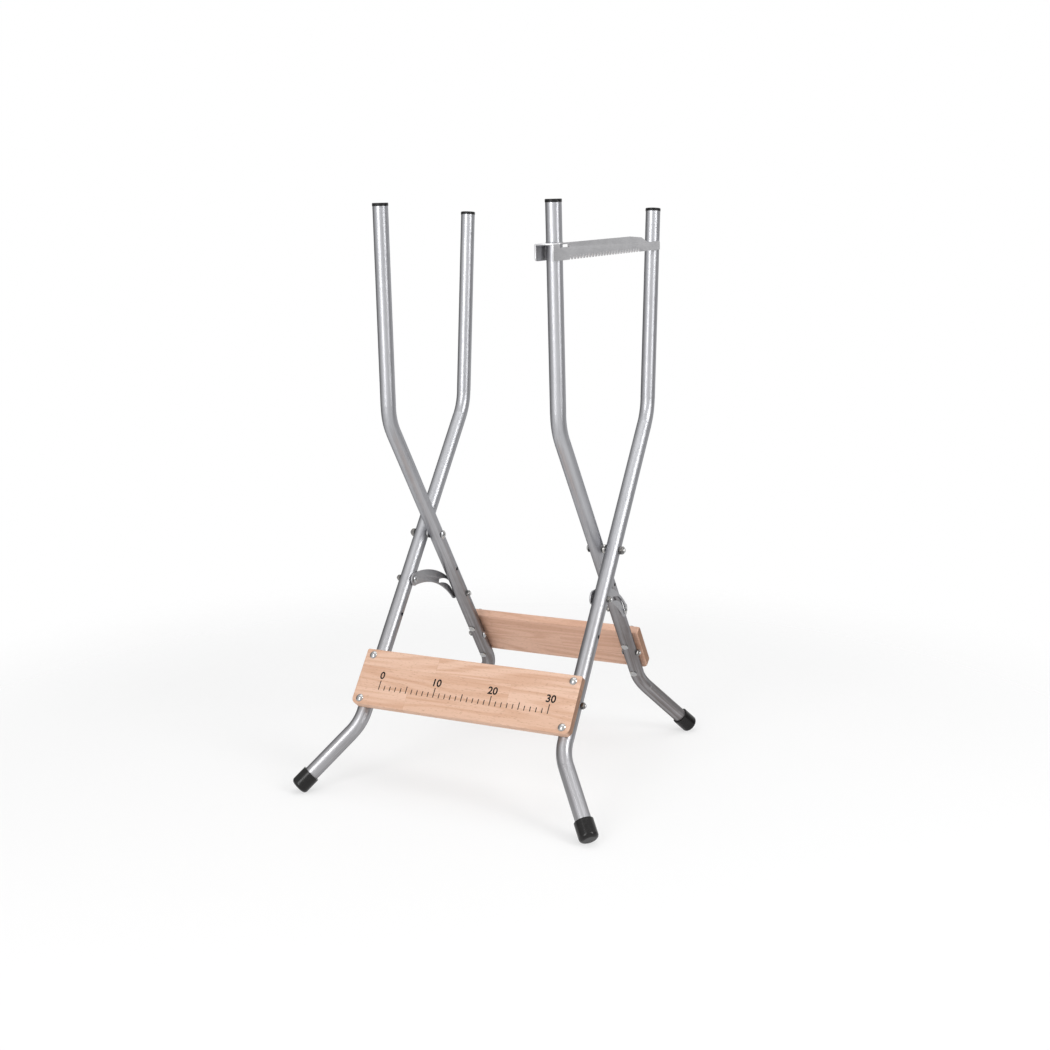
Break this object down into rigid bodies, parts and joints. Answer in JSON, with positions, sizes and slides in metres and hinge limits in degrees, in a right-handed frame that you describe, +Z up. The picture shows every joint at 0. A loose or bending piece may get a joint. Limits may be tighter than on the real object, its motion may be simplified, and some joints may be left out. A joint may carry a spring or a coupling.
{
  "type": "log saw stand",
  "caption": "Folding stand for sawing logs: crossed bent tube frames with wooden boards, slotted stays and a toothed bar that slides on an upright.",
  "frame": {"origin": "on the floor, under the middle between the two crossing bolts", "axes": "+X along the log towards the side with the toothed bar, -Y towards the front board, +Z up"},
  "size_m": [0.5288, 0.5854, 0.9462],
  "materials": {
    "zinc_tube": "satin",
    "bright_zinc": "gloss",
    "dark_zinc": "satin",
    "sheet_steel": "satin",
    "beech": "matte",
    "black_plastic": "matte",
    "black_rubber": "matte",
    "grey_plastic": "matte"
  },
  "bodies": {
    "front_frame": {"rear_left_upright": "zinc_tube", "rear_right_upright": "zinc_tube", "front_left_leg": "zinc_tube", "front_right_leg": "zinc_tube", "front_board": "beech", "front_board_bolts": "bright_zinc", "front_board_nuts": "bright_zinc", "front_leg_bolts": "bright_zinc", "front_leg_nuts": "bright_zinc", "rear_left_cap": "black_plastic", "rear_right_cap": "black_plastic", "front_left_foot": "black_rubber", "front_right_foot": "black_rubber", "crossing_bolts": "bright_zinc", "crossing_nuts": "bright_zinc", "crossing_spacers": "bright_zinc", "stay_pivot_bolts": "bright_zinc", "stay_pivot_nuts": "bright_zinc"},
    "rear_frame": {"front_left_upright": "zinc_tube", "front_right_upright": "zinc_tube", "rear_left_leg": "zinc_tube", "rear_right_leg": "zinc_tube", "rear_board": "beech", "rear_board_bolts": "bright_zinc", "rear_board_nuts": "bright_zinc", "rear_leg_bolts": "bright_zinc", "rear_leg_nuts": "bright_zinc", "front_left_cap": "black_plastic", "front_right_cap": "black_plastic", "rear_left_foot": "black_rubber", "rear_right_foot": "black_rubber", "slot_pins": "bright_zinc", "slot_pin_nuts": "bright_zinc"},
    "left_stay": {"left_stay": "dark_zinc"},
    "right_stay": {"right_stay": "dark_zinc"},
    "bar_slider": {"bar_liner": "grey_plastic"},
    "toothed_bar": {"toothed_bar": "sheet_steel"}
  },
  "joints": [
    {"name": "fold", "type": "hinge", "parent": "front_frame", "child": "rear_frame", "pos_m": [0, 0, 0.38172], "axis": [-1, 0, 0], "range_deg": [0, 42]},
    {"name": "left_stay_turn", "type": "hinge", "parent": "front_frame", "child": "left_stay", "pos_m": [-0.1645, -0.05296, 0.31144], "axis": [-1, 0, 0], "range_deg": [0, 51.3]},
    {"name": "right_stay_turn", "type": "hinge", "parent": "front_frame", "child": "right_stay", "pos_m": [0.1645, -0.05296, 0.31144], "axis": [-1, 0, 0], "range_deg": [0, 51.3]},
    {"name": "bar_slide", "type": "slide", "parent": "rear_frame", "child": "bar_slider", "axis": [0, -0.061, 0.9981], "range_m": [-0.22, 0.055]},
    {"name": "bar_swing", "type": "hinge", "parent": "bar_slider", "child": "toothed_bar", "pos_m": [0.15, -0.17596, 0.85367], "axis": [0, 0.061, -0.9981], "range_deg": [0, 151.3]}
  ],
  "couplings": [
    {"joint": "left_stay_turn", "follows": "fold", "ratio": 1.22},
    {"joint": "right_stay_turn", "follows": "fold", "ratio": 1.22},
    {"joint": "bar_swing", "follows": "fold", "ratio": 3.6}
  ]
}
